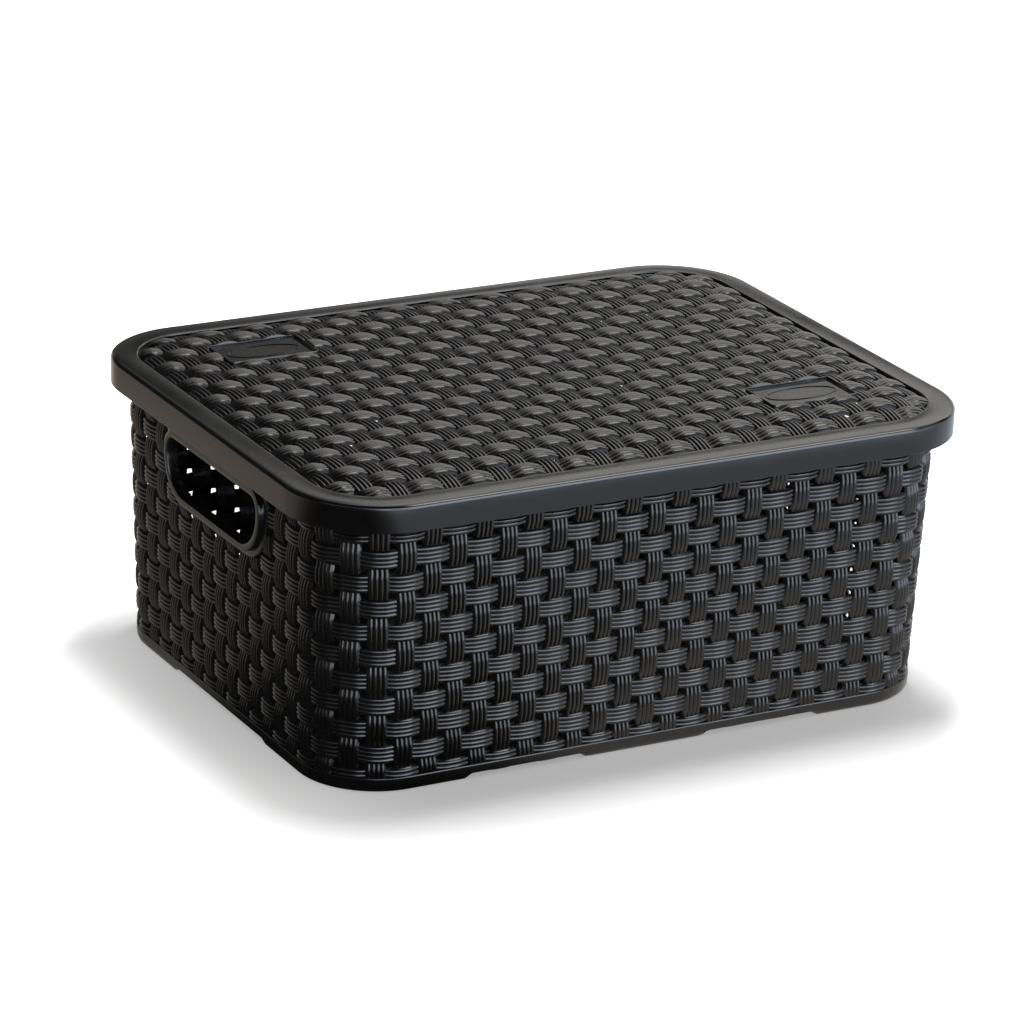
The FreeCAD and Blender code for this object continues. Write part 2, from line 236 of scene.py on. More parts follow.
class Build:
    """Collects swept surfaces and makes one object of them."""

    def __init__(self):
        self.points, self.faces, self.count = [], [], 0

    def add_points(self, points):
        """Adds points and returns the number of the first."""
        first = self.count
        self.points.append(points.reshape(-1, 3))
        self.count += len(self.points[-1])
        return first

    def sweep(self, points, closed=False):
        """Adds a closed section carried along stations: points[station, spot] is an xyz."""
        rings, around = points.shape[:2]
        first = self.add_points(points)
        self.faces += grid_faces(rings, around, first, closed).tolist()
        if not closed:
            start = list(range(first, first + around))
            end = [i + (rings - 1) * around for i in start]
            self.faces += [start[::-1], end]

    def bridge(self, outer, inner, around):
        """Joins two rings of `around` points, given the numbers of their first points."""
        ring = np.arange(around)
        after = (ring + 1) % around
        quads = np.stack([outer + ring, outer + after, inner + after, inner + ring], axis=-1)
        self.faces += quads.tolist()

    def object(self, name, node, material, sharp=50.0, merge=0.0):
        """The finished piece, which rides on and replaces a node of the frame. Edges steeper than
        sharp (degrees) stay crisp."""
        mesh = bpy.data.meshes.new(name)
        mesh.from_pydata((np.concatenate(self.points) * MM).tolist(), [], self.faces)
        tidy_mesh(mesh, merge)
        mesh.polygons.foreach_set("use_smooth", [True] * len(mesh.polygons))
        mesh.set_sharp_from_angle(angle=math.radians(sharp))
        mesh.materials.append(material)
        piece = bpy.data.objects.new(name, mesh)
        bpy.context.scene.collection.objects.link(piece)
        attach(piece, node)
        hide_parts(node)
        return piece


def tidy_mesh(mesh, merge):
    """Welds points closer than merge (mm) and turns every face outward."""
    work = bmesh.new()
    work.from_mesh(mesh)
    if merge:
        bmesh.ops.remove_doubles(work, verts=work.verts, dist=merge * MM)
        bmesh.ops.dissolve_degenerate(work, edges=work.edges, dist=merge * MM)
    bmesh.ops.recalc_face_normals(work, faces=work.faces)
    work.to_mesh(mesh)
    work.free()


def strand_section(width, slab, rib, crown):
    """A strand's closed section: positions across it, and heights of its ribbed face and flat back.

    The sides slope, so that the back is wider than the face.
    """
    across = np.linspace(-0.5, 0.5, RIBS * RIB_STEPS + 1)
    ribbed = np.abs(np.sin(math.pi * RIBS * (across + 0.5))) ** RIB_FULLNESS
    face = slab / 2 + rib * ribbed - crown * (2 * across) ** 2
    back_across = np.array([0.5, 0.0, -0.5]) * BACK_SPREAD
    back = np.full(3, -slab / 2 - 0.3 * crown)
    return np.concatenate([across, back_across]) * width, np.concatenate([face, back])


# ---------------------------------------------------------------- shader nodes
class Nodes:
    """Short ways to add nodes to a tree and to link them."""

    def __init__(self, tree):
        self.nodes, self.links = tree.nodes, tree.links

    def add(self, kind, **inputs):
        node = self.nodes.new(kind)
        for name, value in inputs.items():
            self.put(node.inputs[name.replace("_", " ")], value)
        return node

    def put(self, socket, value):
        if isinstance(value, bpy.types.NodeSocket):
            self.links.new(value, socket)
        else:
            socket.default_value = value

    def ramp(self, value, low, high, start=0.0, end=1.0, shape="LINEAR"):
        """From start at value low to end at value high, and level beyond them."""
        node = self.add(
            "ShaderNodeMapRange", Value=value, From_Min=low, From_Max=high, To_Min=start, To_Max=end
        )
        node.interpolation_type = shape
        return node.outputs["Result"]

    def ease(self, value, low, high, start=0.0, end=1.0):
        return self.ramp(value, low, high, start, end, "SMOOTHSTEP")

    def noise(self, place, scale, detail):
        node = self.add("ShaderNodeTexNoise", Vector=place, Scale=scale, Detail=detail)
        return node.outputs["Fac"]

    def math(self, operation, a, b):
        node = self.add("ShaderNodeMath")
        node.operation = operation
        self.put(node.inputs[0], a)
        self.put(node.inputs[1], b)
        return node.outputs["Value"]

    def product(self, a, b):
        return self.math("MULTIPLY", a, b)

    def sum(self, a, b):
        return self.math("ADD", a, b)

    def vector(self, operation, a, b=None):
        node = self.add("ShaderNodeVectorMath")
        node.operation = operation
        self.put(node.inputs[0], a)
        if b is not None:
            self.put(node.inputs[1], b)
        return node.outputs["Value" if operation in ("LENGTH", "DOT_PRODUCT") else "Vector"]

    def toward(self, vector, direction):
        """How far a vector reaches in a direction: for two unit vectors, the cosine between them."""
        return self.vector("DOT_PRODUCT", vector, direction)

    def mix(self, factor, a, b, blend="MIX"):
        node = self.add("ShaderNodeMix")
        node.data_type = "RGBA"
        node.blend_type = blend
        self.put(node.inputs["Factor"], factor)
        self.put(node.inputs["A"], a)
        self.put(node.inputs["B"], b)
        return node.outputs["Result"]


# ---------------------------------------------------------------- materials
def plastic(name, colour, roughness, grain):
    """Black moulded plastic: a fine-grained satin skin with faint cloudy wear, rubbed edges, and
    painted shade in its hollows, where the gloss is turned down."""
    material = bpy.data.materials.new(name)
    material.use_nodes = True
    shader = material.node_tree.nodes["Principled BSDF"]
    make = Nodes(material.node_tree)
    place = make.add("ShaderNodeTexCoord").outputs["Object"]
    bend = make.add("ShaderNodeNewGeometry").outputs["Pointiness"]
    cloud = make.noise(place, 35.0, 3.0)
    speck = make.noise(place, grain, 2.0)

    rubbed = tuple(1.9 * channel for channel in colour)
    colour = make.mix(make.ramp(bend, 0.5, 0.62), (*colour, 1), (*rubbed, 1))
    shade = make.ramp(cloud, 0.3, 0.7, 0.85, 1.15)
    grey = make.add("ShaderNodeCombineColor", Red=shade, Green=shade, Blue=shade).outputs["Color"]
    make.put(shader.inputs["Base Color"], make.mix(1.0, colour, grey, "MULTIPLY"))
    cloudy = make.ramp(cloud, 0.3, 0.7, roughness - 0.04, roughness + 0.04)
    make.put(shader.inputs["Roughness"], cloudy)
    make.put(shader.inputs["IOR"], 1.5)
    # Painted shade: the gloss is turned down in hollows and creases, so that they stay dark where
    # shade falls.
    make.put(shader.inputs["Specular IOR Level"], make.ramp(bend, 0.42, 0.49, 0.05, 0.5))
    bump = make.add("ShaderNodeBump", Strength=0.12, Distance=0.00008, Height=speck)
    make.put(shader.inputs["Normal"], bump.outputs["Normal"])
    return material


weave_plastic = plastic("basket_weave", (0.0035, 0.0033, 0.0032), 0.21, 2600.0)
smooth_plastic = plastic("basket_smooth", (0.0035, 0.0034, 0.0033), 0.22, 3200.0)
lid_weave_plastic = plastic("lid_weave", (0.0022, 0.0021, 0.002), 0.21, 2600.0)
lid_smooth_plastic = plastic("lid_smooth", (0.0025, 0.0025, 0.0025), 0.11, 3200.0)


# ---------------------------------------------------------------- the hand slots' outlines
def plate_loop(half, low, high, corner_low, corner_high, per_corner=10, per_side=12):
    """Points (y, z) round an upright rounded rectangle, equally many for every size."""
    centres = (
        (half - corner_low, low + corner_low, corner_low, -90),
        (half - corner_high, high - corner_high, corner_high, 0),
        (corner_high - half, high - corner_high, corner_high, 90),
        (corner_low - half, low + corner_low, corner_low, 180),
    )
    corners = []
    for y, z, radius, start in centres:
        angles = np.radians(np.linspace(start, start + 90, per_corner + 1))
        corners.append(np.stack([y + radius * np.cos(angles), z + radius * np.sin(angles)], 1))
    loop = []
    for here, after in zip(corners, corners[1:] + corners[:1]):
        side = np.linspace(here[-1], after[0], per_side + 1)[1:-1]
        loop += [here, side]
    return np.concatenate(loop)


def slot_loop(border):
    """The hand slot's outline, grown by border."""
    return plate_loop(
        SLOT_HALF + border,
        SLOT_LOW - border,
        SLOT_HIGH + border,
        SLOT_CORNER_LOW + border,
        SLOT_CORNER_HIGH + border,
    )


def side_plate_loop(inset):
    """The smooth plate's outline round the hand slot, shrunk by inset."""
    return plate_loop(
        PLATE_HALF - inset,
        PLATE_LOW + inset,
        PLATE_HIGH - inset,
        PLATE_CORNER_LOW - inset,
        PLATE_CORNER_HIGH - inset / 4,
    )


def inside_plate(y, z, inset):
    """How far points of a short side lie inside the plate's outline shrunk by inset: > 0 inside."""
    half, low = PLATE_HALF - inset, PLATE_LOW + inset
    corner = PLATE_CORNER_LOW - inset
    over_y = np.maximum(np.abs(y) - (half - corner), 0)
    under_z = np.maximum(low + corner - z, 0)
    return corner - np.hypot(over_y, under_z)


# ---------------------------------------------------------------- the basket's weave
def crosses_plate(points):
    """True for stations whose middle lies under a hand slot's plate."""
    middle = points.mean(axis=1)
    on_short_side = np.abs(middle[:, 0]) > MOUTH_X - NEAR_WALL
    return on_short_side & (inside_plate(middle[:, 1], middle[:, 2], 1.5) > 0)


def add_outside_plates(build, points):
    """Adds a strand's stretches that lie outside the hand slots' plates."""
    kept = ~crosses_plate(points)
    edges = np.flatnonzero(np.diff(np.concatenate([[0], kept.astype(int), [0]])))
    for start, end in zip(edges[::2], edges[1::2]):
        if end - start > 1:
            build.sweep(points[start:end])


def weave_row(row, start, end):
    """A level strand round the wall, from column start to column end."""
    k = np.linspace(start, end, round((end - start) * STEPS_PER_CROSSING) + 1)[:, None]
    across, height = strand_section(ROW_HEIGHT, WALL_SLAB, WALL_RIB, WALL_CROWN)
    z = FIRST_ROW_Z + row * ROW_PITCH + across[None, :]
    n = ROW_MIDDLE + ROW_WAVE * weave_wave(k + row + 1) + height[None, :]
    return wall_point(k, z, n)


def weave_column(column):
    """An upright strand, from inside the base band to inside the top band."""
    low, high = BASE_BAND_TOP - INTO_BASE_BAND, TOP_BAND_BOTTOM + INTO_TOP_BAND
    steps = round((high - low) / ROW_PITCH * STEPS_PER_CROSSING)
    z = np.linspace(low, high, steps + 1)[:, None]
    across, height = strand_section(COLUMN_WIDTH, WALL_SLAB, WALL_RIB, WALL_CROWN)
    k = column + across[None, :] / COLUMN_PITCH
    crossing = (z - FIRST_ROW_Z) / ROW_PITCH
    n = COLUMN_MIDDLE + COLUMN_WAVE * weave_wave(crossing + column) + height[None, :]
    return wall_point(k, z, n)


def make_basket_weave():
    for half, name in enumerate(("front", "back")):
        rows, columns = Build(), Build()
        for row in ROWS:
            # The ends meet where the row dips under a column, near the middle of a short side.
            shift = 1 if row % 2 == 0 else 0
            reach = QUARTER + shift if half == 0 else QUARTER - shift
            middle = half * 2 * QUARTER
            add_outside_plates(rows, weave_row(row, middle - reach, middle + reach))
        start = -QUARTER + half * 2 * QUARTER
        for column in range(start, start + 2 * QUARTER):
            add_outside_plates(columns, weave_column(column))
        rows.object(f"basket_rows_{name}", "basket", weave_plastic)
        columns.object(f"basket_columns_{name}", "basket", weave_plastic)


# ---------------------------------------------------------------- the basket's smooth parts
def foot_rise(k):
    """How far the band's lower edge is raised above the feet, at each column."""
    x, y, _, _ = outline(k, MOUTH_X - FLARE, MOUTH_Y - FLARE, FOOT_CORNER)
    long_side = LONG_SIDE_GAP / 2 - np.abs(np.abs(x) - LONG_SIDE_GAP_MIDDLE)
    long_side = np.where(np.abs(y) > MOUTH_Y - NEAR_WALL, long_side, -np.inf)
    short_side = SHORT_SIDE_GAP / 2 - np.abs(y)
    short_side = np.where(np.abs(x) > MOUTH_X - NEAR_WALL, short_side, -np.inf)
    inside = np.maximum(long_side, short_side)
    return FLOOR_RISE * np.clip(inside / FOOT_SLOPE, 0, 1)


def make_base():
    """The band at the foot of the wall, its feet and the floor, in one."""
    rise = foot_rise(STATIONS)
    floor_top = FLOOR_RISE + FLOOR_THICKNESS
    n, z = soften(
        [
            (-FOOT_RING, floor_top, 0),
            (BAND_BACK, floor_top, 1.2),
            (BAND_BACK, BASE_BAND_TOP, 0.6),
            (BASE_BAND_FACE, BASE_BAND_TOP, 0.7),
            (BASE_BAND_FACE, FOOT_BEVEL + 1, 0),
        ]
    )
    upper = wall_point(STATIONS, z[None, :], n[None, :])
    low_n = np.array([0.05, -0.35, -1.0, -FOOT_BEVEL, -FOOT_RING + 0.8, -FOOT_RING + 0.2])
    low_z = np.array([FOOT_BEVEL, 0.9, 0.3, 0.0, 0.0, 0.3])[None, :] + rise
    low_z[:, -1] = np.minimum(low_z[:, -1], FLOOR_RISE)
    lower = wall_point(STATIONS, low_z, low_n[None, :])
    last = wall_point(STATIONS, FLOOR_BOTTOM, np.array([-FOOT_RING])[None, :])
    points = np.concatenate([upper, lower, last], axis=1)

    build = Build()
    around, spots = points.shape[:2]
    build.add_points(points.transpose(1, 0, 2))
    build.faces += grid_faces(spots, around).tolist()
    for spot, height in ((0, floor_top), (spots - 1, FLOOR_BOTTOM)):
        loop = points[:, spot]
        outer = spot * around
        for shrink in FLOOR_RINGS:
            inner = build.add_points(loop * [shrink, shrink, 0] + [0, 0, height])
            build.bridge(outer, inner, around)
            outer = inner
        build.faces.append(list(range(outer, outer + around)))
    return build.object("basket_base", "basket", smooth_plastic, sharp=35.0)


def make_rim():
    """The smooth band at the top of the wall and the flange that the lid rests on."""
    mouth_back = BAND_BACK + 1.9
    n, z = soften(
        [
            (TOP_BAND_FACE, TOP_BAND_BOTTOM, 0.8),
            (TOP_BAND_FACE, WALL_HEIGHT - FLANGE_THICKNESS, 0.5),
            (RIM_OVERHANG, WALL_HEIGHT - FLANGE_THICKNESS, 0.6),
            (RIM_OVERHANG, WALL_HEIGHT, 0.8),
            (mouth_back, WALL_HEIGHT, 0.8),
            (mouth_back, TOP_BAND_BOTTOM + 5, 0.5),
            (BAND_BACK, TOP_BAND_BOTTOM + 3, 0.5),
            (BAND_BACK, TOP_BAND_BOTTOM, 0.6),
        ]
    )
    build = Build()
    build.sweep(wall_point(STATIONS, z[None, :], n[None, :]), closed=True)
    return build.object("basket_rim", "basket", smooth_plastic, sharp=35.0)


def make_handle(side, name):
    """The smooth plate in a short side, with the collar that stands round its hand slot."""

    def on_wall(loop, n):
        rise = loop[:, 1] / WALL_HEIGHT
        x = MOUTH_X - FLARE * (1 - rise) + n
        return np.column_stack([x, loop[:, 0], loop[:, 1]])

    def on_face(loop, n):
        return np.column_stack([np.full(len(loop), COLLAR_FACE + n), loop[:, 0], loop[:, 1]])

    loops = [
        on_wall(side_plate_loop(0), PLATE_BACK),
        on_wall(side_plate_loop(0), -0.6),
        on_wall(side_plate_loop(0.15), -0.15),
        on_wall(side_plate_loop(0.4), 0.0),
        on_wall(slot_loop(COLLAR_BORDER + 0.9), 0.0),
        on_wall(slot_loop(COLLAR_BORDER + 0.3), 0.25),
        on_wall(slot_loop(COLLAR_BORDER), 0.9),
        on_face(slot_loop(COLLAR_BORDER), -1.2),
        on_face(slot_loop(COLLAR_BORDER - 0.35), -0.35),
        on_face(slot_loop(COLLAR_BORDER - 1.2), 0),
        on_face(slot_loop(1.0), 0),
        on_face(slot_loop(0.3), -0.3),
        on_face(slot_loop(0), -1.0),
        on_wall(slot_loop(0), PLATE_BACK),
    ]
    points = np.stack(loops) * [side, 1, 1]
    build = Build()
    build.sweep(points, closed=True)
    return build.object(name, "basket", smooth_plastic, sharp=35.0)


# ---------------------------------------------------------------- the lid
def quarter_ellipse(centre, across, up, turns):
    """Points of a quarter ellipse from its side, at `across`, to its top, at `up`."""
    angles = np.radians(np.linspace(0, 90, turns))
    return [(centre[0] - across * math.cos(a), centre[1] + up * math.sin(a), 0) for a in angles]


def make_lid_rim():
    """The lid's skirt, its flat border and the wall that goes down round the weave."""
    underside = RIM_TOP - LID_PLATE
    panel_wall, skirt_wall = 1.4, 2.2
    edge_across, edge_up = 3.4, 2.3
    inset, z = soften(
        [
            (PANEL_BORDER, PANEL_FOOT, 0.3),
            (PANEL_BORDER - panel_wall, PANEL_FOOT, 0.3),
            (PANEL_BORDER - panel_wall, underside, 0.5),
            (skirt_wall, underside, 1.0),
            (skirt_wall, LID_HEM, 0.4),
            (0.0, LID_HEM, 0.5),
            *quarter_ellipse((edge_across, RIM_TOP - edge_up), edge_across, edge_up, 10),
            (PANEL_BORDER, RIM_TOP, 0.9),
        ],
        segments=5,
    )
    build = Build()
    build.sweep(lid_point(STATIONS, z[None, :], inset[None, :]), closed=True)
    return build.object("lid_rim", "lid", lid_smooth_plastic, sharp=40.0)


PANEL_HALF = np.array([LID_X, LID_Y]) - PANEL_BORDER
PANEL_CORNER = LID_CORNER - PANEL_BORDER


def inside_panel(plan):
    """How far points of the plan lie inside the panel's outline."""
    over = np.abs(plan) - (PANEL_HALF - PANEL_CORNER)
    beyond = np.linalg.norm(np.maximum(over, 0), axis=-1)
    return PANEL_CORNER - beyond - np.minimum(np.max(over, axis=-1), 0)


def dome(plan):
    """The height of the weave's middle surface: flat, and rounded down towards the border."""
    depth = np.maximum(inside_panel(plan), 0)
    return DOME_EDGE + DOME_RISE * (1 - np.exp(-depth / DOME_REACH))


def clamp_to_panel(points, reach):
    """Moves points that are outside the panel's outline, grown by reach, onto it."""
    corner = PANEL_CORNER + reach
    core = PANEL_HALF - PANEL_CORNER
    plan = points[..., :2]
    nearest = np.clip(plan, -core, core)
    away = plan - nearest
    distance = np.linalg.norm(away, axis=-1, keepdims=True)
    scale = np.minimum(1, corner / np.maximum(distance, 1e-9))
    clamped = points.copy()
    clamped[..., :2] = nearest + away * scale
    return clamped


def lid_strand(x, y, height):
    """A strand of the domed weave, from its plan and its height above the dome's middle surface,
    passing below the plaques."""
    points = clamp_to_panel(np.stack(np.broadcast_arrays(x, y, height), -1), INTO_LID_RIM)
    points[..., 2] += dome(points[..., :2])
    reach = np.array([PLAQUE_HALF_X, PLAQUE_HALF_Y]) + PLAQUE_CLEARANCE
    for column, row in PLAQUES.values():
        away = np.abs(points[..., :2] - [column * LID_COLUMN_PITCH, row * LID_ROW_PITCH])
        under = np.all(away < reach, axis=-1)
        points[under, 2] = np.minimum(points[under, 2], STRAND_UNDER_PLAQUE)
    return points


def make_lid_weave():
    rows, columns = Build(), Build()
    across, height = strand_section(LID_ROW_WIDTH, LID_ROW_SLAB, LID_ROW_RIB, LID_ROW_CROWN)
    x = np.linspace(-1, 1, LID_ROW_STATIONS)[:, None] * (PANEL_HALF[0] + INTO_LID_RIM)
    for row in LID_ROWS:
        rise = LID_ROW_WAVE * weave_wave(x / LID_COLUMN_PITCH + row)
        rows.sweep(lid_strand(x, row * LID_ROW_PITCH + across[None, :], rise + height[None, :]))
    across, height = strand_section(
        LID_COLUMN_WIDTH, LID_COLUMN_SLAB, LID_COLUMN_RIB, LID_COLUMN_CROWN
    )
    y = np.linspace(-1, 1, LID_COLUMN_STATIONS)[:, None] * (PANEL_HALF[1] + INTO_LID_RIM)
    for column in LID_COLUMNS:
        rise = LID_COLUMN_WAVE * weave_wave(y / LID_ROW_PITCH + column + 1) - LID_COLUMN_SINK
        middle = column * LID_COLUMN_PITCH
        columns.sweep(lid_strand(middle + across[None, :], y, rise + height[None, :]))
    rows.object("lid_rows", "lid", lid_weave_plastic, merge=0.002)
    columns.object("lid_columns", "lid", lid_weave_plastic, merge=0.002)


def make_plaque(name, crossing):
    """A blank plate let into the weave: a thin edge round a sunk face with a plain oval on it."""
    centre_x, centre_y = crossing[0] * LID_COLUMN_PITCH, crossing[1] * LID_ROW_PITCH
    angles = np.radians(np.arange(0, 360, 5) + 2.5)
    cosine, sine = np.cos(angles), np.sin(angles)

    def ring(x, y, depth):
        level = np.full(len(angles), PLAQUE_TOP - depth)
        return np.column_stack([centre_x + x, centre_y + y, level])

    def rounded(inset, depth):
        """The plaque's outline, inset and at a depth below the top of its edge."""
        radius = max(PLAQUE_CORNER - inset, 0.05)
        straight = max(inset, PLAQUE_CORNER)
        x = np.sign(cosine) * (PLAQUE_HALF_X - straight) + radius * cosine
        y = np.sign(sine) * (PLAQUE_HALF_Y - straight) + radius * sine
        return ring(x, y, depth)

    def oval(half_x, half_y, depth):
        return ring(half_x * cosine, half_y * sine, depth)

    face = PLAQUE_DEPTH
    raised = face - 0.35
    wall = [(0, PLAQUE_FOOT), (0, 0.4), (0.12, 0.12), (0.35, 0), (0.5, 0), (0.65, 0.12)]
    wall += [(0.8, face - 0.12), (1.0, face), (PLAQUE_CORNER, face)]
    ovals = [(20.4, 8.6, face), (20.1, 8.3, raised), (19.5, 7.7, raised), (19.2, 7.4, face)]
    ovals += [(14.0, 5.0, face), (6.0, 2.0, face)]
    build = Build()
    build.sweep(np.stack([rounded(*step) for step in wall] + [oval(*step) for step in ovals]))
    return build.object(name, "lid", lid_smooth_plastic, sharp=40.0)


make_basket_weave()
make_base()
make_rim()
make_handle(-1, "basket_handle_left")
make_handle(1, "basket_handle_right")
make_lid_rim()
make_lid_weave()
for plaque_name, plaque_crossing in PLAQUES.items():
    make_plaque(plaque_name, plaque_crossing)


# ---------------------------------------------------------------- floor, light and camera
# The plastic is nearly black, so its looks are what its gloss reflects: two cards that only the
# gloss sees and a world with bright and dark parts. Lengths are in metres here.
UP, TO_LEFT, TO_FRONT = (0, 0, 1), (-1, 0, 0), (0, -1, 0)
WHITE, COOL, WARM = (1, 1, 1), (0.79, 0.87, 1.0), (1.0, 0.95, 0.88)

FLOOR_GREY = 0.74
SHADOW_STRETCH, SHADOW_START, SHADOW_END, SHADOW_GLOW = 1.65, 0.24, 0.55, 0.31

CARD_STRETCH = 0.8
CARD_DARK_TOWARD = (-0.874, -0.485, 0)
CARD_COOL_TOWARD = (0.874, -0.485, 0)
CARD_UNDER, CARD_WARM, CARD_COOL = (1.06, 1.0, 0.93, 1), (1.2, 1.03, 0.88, 1), (0.83, 0.9, 1.02, 1)

BACKDROP_Y, BACKDROP_LEFT, BACKDROP_RIGHT, BACKDROP_TOP = 1.2, 0.0, 4.0, 2.1
BACKDROP_TINT = (1.0, 0.98, 0.94, 1)

BRIGHTEST = 10.0
SOFT_TINT, SOFT_STRENGTH = (1.0, 0.985, 0.965, 1), 0.3
DARK_TOWARD, DARK = (-0.88, -0.47, 0), (0.003, 0.003, 0.0035, 1)
GAP_TOWARD = (0, -0.985, 0.17)
SOFTBOX_TOWARD, SOFTBOX = (0.452, 0.4, 0.797), (0.21, 0.2, 0.19, 1)
EDGE_LIGHT_TOWARD, EDGE_LIGHT = (0.455, -0.16, 0.876), (0.8, 0.79, 0.76, 1)

LAMP_PLACE, LAMP_SIZE, LAMP_POWER = (0.2, 0.22, 1.5), (0.22, 0.72), 30.0

CAMERA_AZIMUTH, CAMERA_ELEVATION, CAMERA_ROLL = -29.04, 20.36, 2.09
CAMERA_RIGHT, CAMERA_UP, CAMERA_BACK = -0.0178, 0.0140, 6.9068
CAMERA_AIM = 0.2
CAMERA_LENS = 175.55


def make_sheet(name, corners):
    """A flat sheet with a material of its own."""
    mesh = bpy.data.meshes.new(name)
    mesh.from_pydata(corners, [], [(0, 1, 2, 3)])
    material = bpy.data.materials.new(name)
    material.use_nodes = True
    mesh.materials.append(material)
    sheet = bpy.data.objects.new(name, mesh)
    bpy.context.scene.collection.objects.link(sheet)
    return sheet, material.node_tree


def level_square(height, half=6.0):
    return [(-half, -half, height), (half, -half, height), (half, half, height), (-half, half, height)]


def reach_over_floor(make, place, stretch):
    """How far a place on the floor is from the middle, with x stretched."""
    return make.vector("LENGTH", make.vector("MULTIPLY", place, (stretch, 1.0, 1.0)))


def show_in_gloss(card, make, tint, strength):
    """Makes a sheet shine, for the plastic's gloss alone."""
    shader = make.nodes["Principled BSDF"]
    glow = make.add("ShaderNodeEmission", Color=tint, Strength=strength)
    make.links.new(glow.outputs["Emission"], make.nodes["Material Output"].inputs["Surface"])
    make.nodes.remove(shader)
    card.visible_camera = card.visible_diffuse = card.visible_shadow = False
    card.visible_transmission = False


def make_floor():
    """A wide pale sheet that glows away from the basket, so that its shadow fades into white."""
    floor, tree = make_sheet("floor", level_square(0.0))
    floor.visible_glossy = False
    shader = tree.nodes["Principled BSDF"]
    make = Nodes(tree)
    place = make.add("ShaderNodeNewGeometry").outputs["Position"]
    reach = reach_over_floor(make, place, SHADOW_STRETCH)
    make.put(shader.inputs["Base Color"], (FLOOR_GREY, FLOOR_GREY, FLOOR_GREY, 1))
    make.put(shader.inputs["Roughness"], 0.9)
    make.put(shader.inputs["Specular IOR Level"], 0.0)
    make.put(shader.inputs["Emission Color"], (1, 1, 1, 1))
    glow = make.ease(reach, SHADOW_START, SHADOW_END, SHADOW_GLOW, 1.0)
    make.put(shader.inputs["Emission Strength"], glow)


def make_floor_card():
    """What the gloss shows of the floor: bright far out in front, dimmer near the basket and to its
    left, and dark in front of its left corner."""
    card, tree = make_sheet("floor_in_gloss", level_square(-0.001))
    make = Nodes(tree)
    place = make.add("ShaderNodeNewGeometry").outputs["Position"]
    reach = reach_over_floor(make, place, CARD_STRETCH)
    heading = make.vector("NORMALIZE", place)

    ahead = make.ease(make.toward(heading, TO_FRONT), 0.3, 0.7)
    far = make.product(make.ease(reach, 0.55, 1.4, 0.0, 4.2), ahead)
    strength = make.sum(make.ease(reach, 0.14, 0.46, 0.75, 1.0), far)
    dimmed = make.ease(make.toward(heading, TO_LEFT), 0.1, 0.5, 1.0, 0.42)
    dark = make.ease(make.toward(heading, CARD_DARK_TOWARD), 0.66, 0.95, 1.0, 0.05)
    strength = make.product(make.product(strength, dimmed), dark)

    sideways = make.ease(make.toward(heading, CARD_COOL_TOWARD), -0.3, 0.3)
    outer = make.mix(sideways, CARD_WARM, CARD_COOL)
    tint = make.mix(make.ease(reach, 0.2, 0.42), CARD_UNDER, outer)
    show_in_gloss(card, make, tint, strength)


def make_backdrop():
    """A pale screen behind on the right, which the gloss of the lid shows: darker low down and in
    one level band, and towards its left edge."""
    low = [(BACKDROP_LEFT, BACKDROP_Y, 0), (BACKDROP_RIGHT, BACKDROP_Y, 0)]
    high = [(BACKDROP_RIGHT, BACKDROP_Y, BACKDROP_TOP), (BACKDROP_LEFT, BACKDROP_Y, BACKDROP_TOP)]
    card, tree = make_sheet("backdrop_in_gloss", low + high)
    make = Nodes(tree)
    place = make.add("ShaderNodeNewGeometry").outputs["Position"]
    height = make.toward(place, UP)
    along = make.toward(place, (1, 0, 0))

    climb = make.sum(make.ease(height, 0.1, 0.75, 0.4, 1.0), make.ease(height, 0.75, 1.9, 0.0, 1.1))
    foot = make.product(make.ease(height, 0.15, 0.5, 1.0, 0.0), make.ease(along, 0.6, 1.0))
    outside_band = make.sum(make.ease(height, 0.535, 0.56, 1.0, 0.0), make.ease(height, 0.655, 0.68))
    band = make.sum(make.product(outside_band, 0.98), 0.22)
    fade = make.ease(along, 0.25, 0.75, 0.2, 1.0)
    strength = make.product(make.product(make.sum(climb, foot), band), fade)
    show_in_gloss(card, make, BACKDROP_TINT, strength)


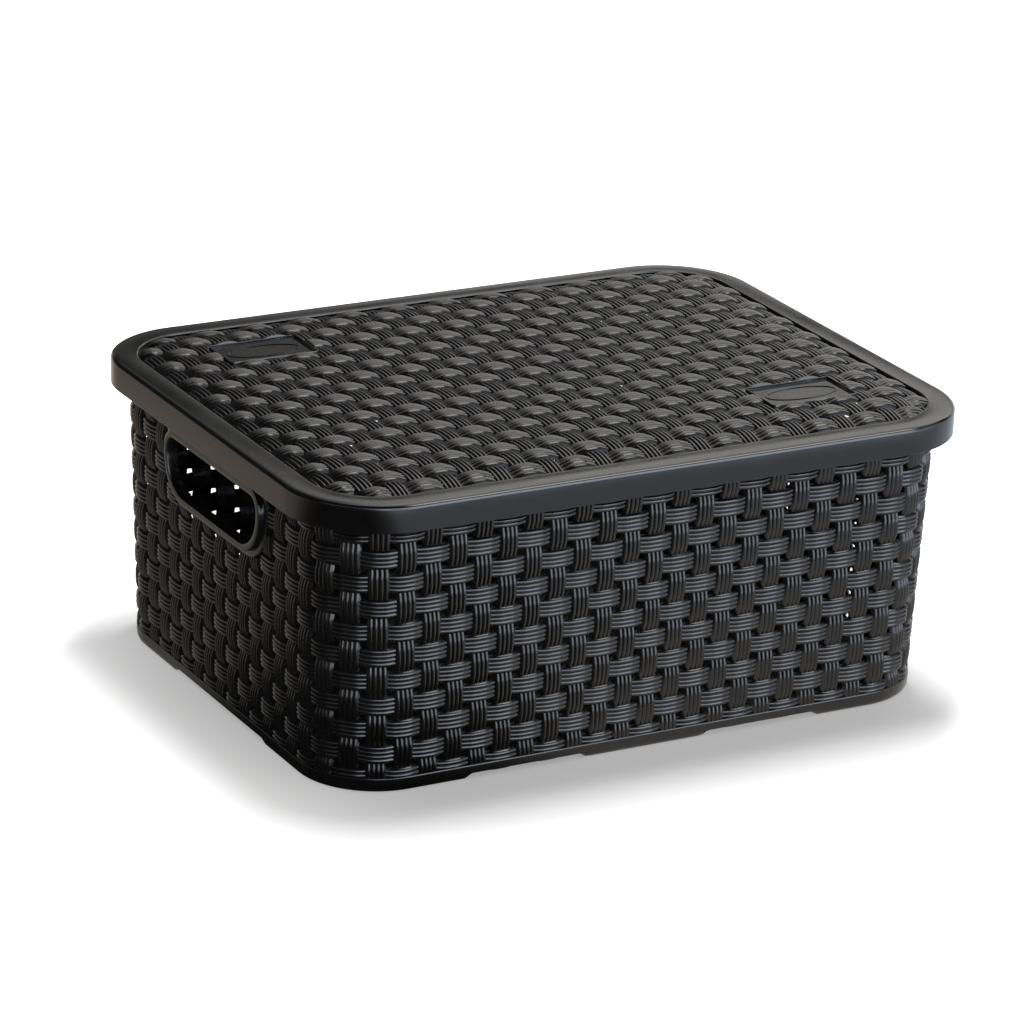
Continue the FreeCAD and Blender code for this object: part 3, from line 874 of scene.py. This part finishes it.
def make_surround():
    """The studio round the basket: white to the camera, soft on the floor, and in the plastic's
    gloss a pale sweep low down behind, a bright cool strip low in front and dark above both."""
    world = bpy.data.worlds.new("studio")
    bpy.context.scene.world = world
    world.use_nodes = True
    world.node_tree.nodes.clear()
    make = Nodes(world.node_tree)
    direction = make.add("ShaderNodeTexCoord").outputs["Generated"]
    height = make.ramp(make.toward(direction, UP), -1.0, 1.0)

    def by_height(stops):
        """Colours by the sine of the elevation, from straight down at -1 to straight up at 1."""
        node = make.add("ShaderNodeValToRGB", Fac=height)
        elements = node.color_ramp.elements
        while len(elements) < len(stops):
            elements.new(0.5)
        for element, (sine, brightness, tint) in zip(elements, stops):
            element.position = (sine + 1) / 2
            element.color = (*(brightness / BRIGHTEST * c for c in tint), 1)
        return node.outputs["Color"]

    def background(colour, strength):
        return make.add("ShaderNodeBackground", Color=colour, Strength=strength).outputs["Background"]

    def chosen(factor, a, b):
        node = make.add("ShaderNodeMixShader", Fac=factor)
        make.put(node.inputs[1], a)
        make.put(node.inputs[2], b)
        return node.outputs["Shader"]

    behind = by_height([(-1, 1.0, WARM), (0.02, 0.9, WARM), (0.15, 0.4, WHITE), (0.3, 0.03, WHITE)])
    strip = by_height([(-1, 1.0, COOL), (-0.08, 7.0, COOL), (0.6, 6.4, COOL), (0.74, 0.03, COOL)])
    strip_end = make.ease(make.toward(direction, (1, 0, 0)), 0.52, 0.7, 1.0, 0.25)
    gap = make.ease(make.toward(direction, GAP_TOWARD), 0.955, 0.995, 1.0, 0.3)
    in_front = make.mix(make.product(strip_end, gap), (0, 0, 0, 1), strip)
    forward = make.ease(make.toward(direction, TO_FRONT), -0.15, 0.4)
    gloss = make.mix(forward, behind, in_front)
    gloss = make.mix(make.ease(make.toward(direction, DARK_TOWARD), 0.5, 0.88), gloss, DARK)
    gloss = make.mix(make.ease(make.toward(direction, SOFTBOX_TOWARD), 0.86, 0.97), gloss, SOFTBOX)
    edge_light = make.ease(make.toward(direction, EDGE_LIGHT_TOWARD), 0.98, 0.993)
    gloss = make.mix(edge_light, gloss, EDGE_LIGHT)

    ray = make.add("ShaderNodeLightPath").outputs
    soft = background(SOFT_TINT, SOFT_STRENGTH)
    lit = chosen(ray["Is Glossy Ray"], soft, background(gloss, BRIGHTEST))
    white = background((1, 1, 1, 1), 1.0)
    make.add("ShaderNodeOutputWorld", Surface=chosen(ray["Is Camera Ray"], lit, white))


def make_lamp():
    """A lamp overhead, a little behind and to the right, which the gloss doesn't show."""
    light = bpy.data.lights.new("overhead", "AREA")
    light.shape = "RECTANGLE"
    light.size, light.size_y = LAMP_SIZE
    light.energy = LAMP_POWER
    lamp = bpy.data.objects.new("overhead", light)
    bpy.context.scene.collection.objects.link(lamp)
    lamp.location = LAMP_PLACE
    lamp.rotation_mode = "QUATERNION"
    lamp.rotation_quaternion = (-Vector(LAMP_PLACE)).to_track_quat("-Z", "Y")
    lamp.visible_glossy = False


def make_camera():
    """The view from the front left, a little above, with a slight roll. It is placed in lengths of
    the lid: right, up and back from a point above the middle of the basket's foot."""
    angles = (CAMERA_AZIMUTH, CAMERA_ELEVATION, CAMERA_ROLL)
    azimuth, elevation, roll = (math.radians(angle) for angle in angles)
    length = 2 * LID_X * MM
    level = math.cos(elevation)
    back = Vector((math.sin(azimuth) * level, -math.cos(azimuth) * level, math.sin(elevation)))
    right = Vector((math.cos(azimuth), math.sin(azimuth), 0))
    up = back.cross(right)
    right, up = (
        right * math.cos(roll) + up * math.sin(roll),
        up * math.cos(roll) - right * math.sin(roll),
    )
    centre = Vector((0, 0, CAMERA_AIM * length))
    place = centre + (CAMERA_RIGHT * right + CAMERA_UP * up + CAMERA_BACK * back) * length
    camera = bpy.data.objects.new("camera", bpy.data.cameras.new("camera"))
    bpy.context.scene.collection.objects.link(camera)
    camera.matrix_world = Matrix.Translation(place) @ Matrix((right, up, back)).transposed().to_4x4()
    camera.data.lens = CAMERA_LENS
    camera.data.clip_start, camera.data.clip_end = 0.05, 50
    bpy.context.scene.camera = camera


make_floor()
make_floor_card()
make_backdrop()
make_surround()
make_lamp()
make_camera()
bpy.context.scene.view_settings.view_transform = "Standard"
